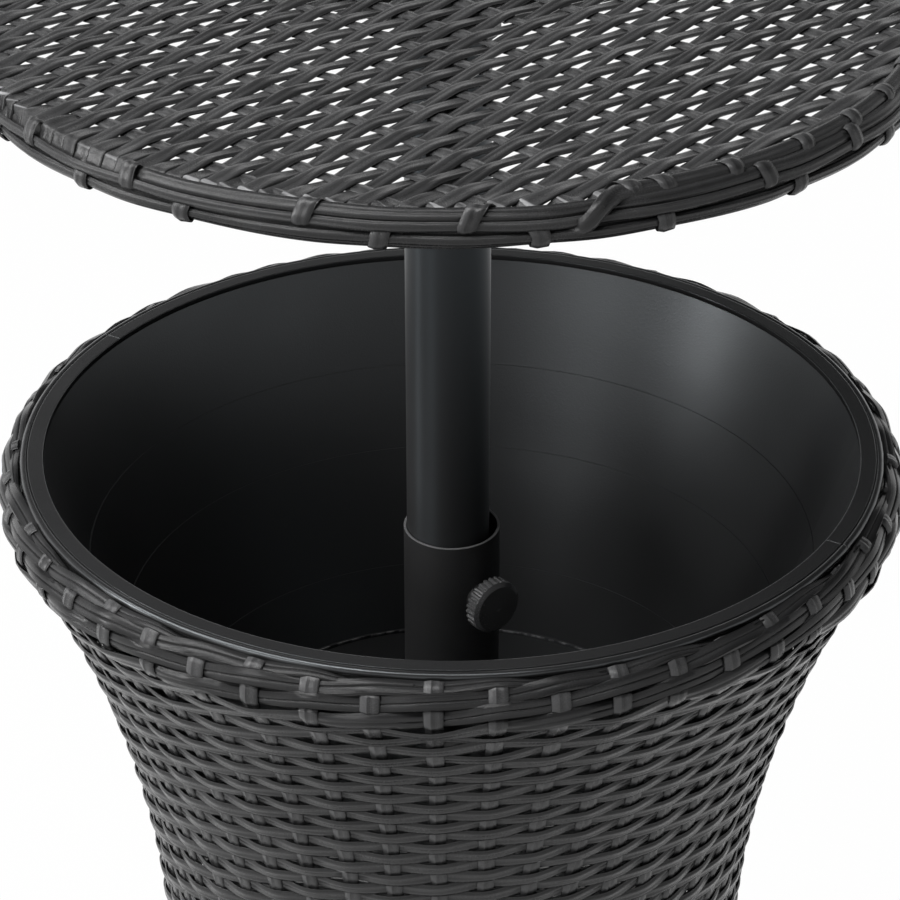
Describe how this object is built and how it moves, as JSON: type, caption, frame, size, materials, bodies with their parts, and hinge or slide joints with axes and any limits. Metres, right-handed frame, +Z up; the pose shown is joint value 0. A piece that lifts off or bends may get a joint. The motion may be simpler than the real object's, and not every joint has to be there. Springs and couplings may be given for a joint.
{
  "type": "cooler table",
  "caption": "Round woven cooler table: an hourglass tub with an ice bucket, and a woven lid on a sliding post that lifts to make a table and is held by a clamp knob.",
  "frame": {"origin": "on the floor under the middle of the tub", "axes": "+Z up, -Y towards the front, +X to the right seen from the front"},
  "size_m": [0.5079, 0.508, 0.7965],
  "materials": {
    "wicker": "extruded plastic strand, dark grey, fine grooves along it, satin",
    "bucket_plastic": "moulded, near black, soft sheen",
    "trim_plastic": "moulded, dark grey, satin with a glossier bead",
    "powder_coat": "black powder coat, fine texture",
    "sleeve_coat": "dark grey powder coat, fine texture",
    "post_coat": "dark grey paint, smooth satin",
    "zinc_steel": "zinc plated",
    "knob_plastic": "moulded, dark grey",
    "black_plastic": "moulded, black",
    "black_rubber": "matt"
  },
  "bodies": {
    "base": {"rim_trim_back": "trim_plastic", "rim_trim_front": "trim_plastic", "bucket_liner": "bucket_plastic", "rim_border": "wicker", "body_weave": "wicker", "foot_border": "wicker", "top_hoop": "powder_coat", "waist_hoop": "powder_coat", "foot_ring": "powder_coat", "support_plate": "powder_coat", "support_cross": "powder_coat", "lower_cross": "powder_coat", "post_sleeve": "sleeve_coat", "sleeve_flange": "sleeve_coat", "flange_gasket": "black_rubber", "flange_bolts": "zinc_steel", "flange_nuts": "zinc_steel", "sleeve_bumper": "black_rubber", "clamp_boss": "sleeve_coat", "drain_fitting": "black_plastic", "drain_seal": "black_rubber", "drain_nut": "black_plastic", "upright_1": "powder_coat", "upright_2": "powder_coat", "upright_3": "powder_coat", "upright_4": "powder_coat", "upright_5": "powder_coat", "upright_6": "powder_coat", "upright_7": "powder_coat", "upright_8": "powder_coat", "foot_glide_1": "black_plastic", "foot_glide_2": "black_plastic", "foot_glide_3": "black_plastic", "foot_glide_4": "black_plastic"},
    "post_foot": {"post_foot_plug": "black_plastic"},
    "table": {"lift_post": "post_coat", "post_insert": "black_plastic", "hub_plate": "powder_coat", "hub_bolts": "zinc_steel", "table_ring": "powder_coat", "top_weave": "wicker", "table_edge": "wicker", "table_arm_front": "powder_coat", "table_arm_right": "powder_coat", "table_arm_left": "powder_coat"},
    "screw": {"clamp_screw": "zinc_steel"},
    "knob": {"clamp_knob": "knob_plastic"},
    "stopper": {"drain_plug": "black_plastic"}
  },
  "joints": [
    {"name": "table_lift", "type": "slide", "parent": "base", "child": "post_foot", "axis": [0, 0, 1], "range_m": [-0.236, 0.036]},
    {"name": "table_turn", "type": "hinge", "parent": "post_foot", "child": "table", "pos_m": [-0.00215, 0, 0.364], "axis": [0, 0, 1], "continuous": true},
    {"name": "screw_feed", "type": "slide", "parent": "base", "child": "screw", "axis": [0.6018, -0.7986, 0], "range_m": [0, 0.0026]},
    {"name": "knob_turn", "type": "hinge", "parent": "screw", "child": "knob", "pos_m": [0.02076, -0.02755, 0.445], "axis": [0.6018, -0.7986, 0], "range_deg": [0, 720]},
    {"name": "drain_pull", "type": "slide", "parent": "base", "child": "stopper", "axis": [0, 0, 1], "range_m": [0, 0.03]}
  ],
  "couplings": [
    {"joint": "screw_feed", "follows": "knob_turn", "m_per_rad": 0.00019894}
  ]
}
